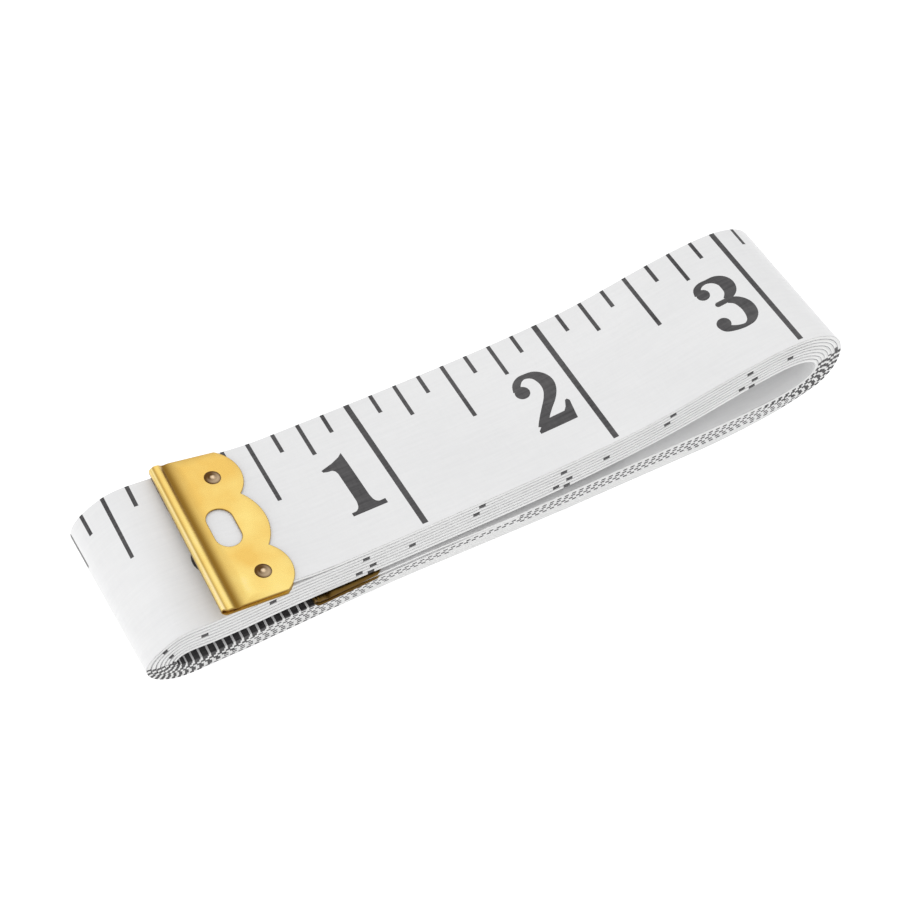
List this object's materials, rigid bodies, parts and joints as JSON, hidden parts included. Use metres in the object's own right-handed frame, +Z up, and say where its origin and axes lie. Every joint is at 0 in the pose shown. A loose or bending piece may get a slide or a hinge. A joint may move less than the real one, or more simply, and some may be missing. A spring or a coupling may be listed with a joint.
{
  "type": "tape measure",
  "caption": "Soft white tailor's tape measure wound into a flat oblong roll, printed scales on both faces, folded scalloped brass tips; the free end lifts and curls off the roll.",
  "frame": {"origin": "under the middle of the bounding box, on the surface that the roll rests on", "axes": "+X along the roll from the outer tip's end towards the open loop, +Y across the strip from the metric edge towards the inch edge, +Z up"},
  "size_m": [0.0916, 0.0224, 0.0132],
  "materials": {
    "vinyl_face": "semi-gloss printed vinyl",
    "vinyl_back": "semi-gloss printed vinyl",
    "glass_core": "lengthwise glass-fibre yarn",
    "brass_sheet": "bright stamped sheet",
    "brass_rivet": "dimpled head"
  },
  "bodies": {
    "roll": {"roll_face": "vinyl_face", "roll_core": "glass_core", "roll_back": "vinyl_back", "inner_tip": "brass_sheet", "inner_rivet_near": "brass_rivet", "inner_rivet_far": "brass_rivet"},
    "length_1": {"length_1_face": "vinyl_face", "length_1_core": "glass_core", "length_1_back": "vinyl_back"},
    "length_2": {"length_2_face": "vinyl_face", "length_2_core": "glass_core", "length_2_back": "vinyl_back"},
    "length_3": {"length_3_face": "vinyl_face", "length_3_core": "glass_core", "length_3_back": "vinyl_back"},
    "tip_end": {"end_face": "vinyl_face", "end_core": "glass_core", "end_back": "vinyl_back", "outer_tip": "brass_sheet", "outer_rivet_near": "brass_rivet", "outer_rivet_far": "brass_rivet"}
  },
  "joints": [
    {"name": "bend_1", "type": "hinge", "parent": "roll", "child": "length_1", "pos_m": [0.03601, 0, 0.01293], "axis": [0, 1, 0], "range_deg": [0, 45]},
    {"name": "bend_2", "type": "hinge", "parent": "length_1", "child": "length_2", "pos_m": [0.01832, 0, 0.00974], "axis": [0, 1, 0], "range_deg": [0, 45]},
    {"name": "bend_3", "type": "hinge", "parent": "length_2", "child": "length_3", "pos_m": [0.00036, 0, 0.00864], "axis": [0, 1, 0], "range_deg": [0, 45]},
    {"name": "bend_4", "type": "hinge", "parent": "length_3", "child": "tip_end", "pos_m": [-0.01764, 0, 0.00856], "axis": [0, 1, 0], "range_deg": [0, 45]}
  ]
}
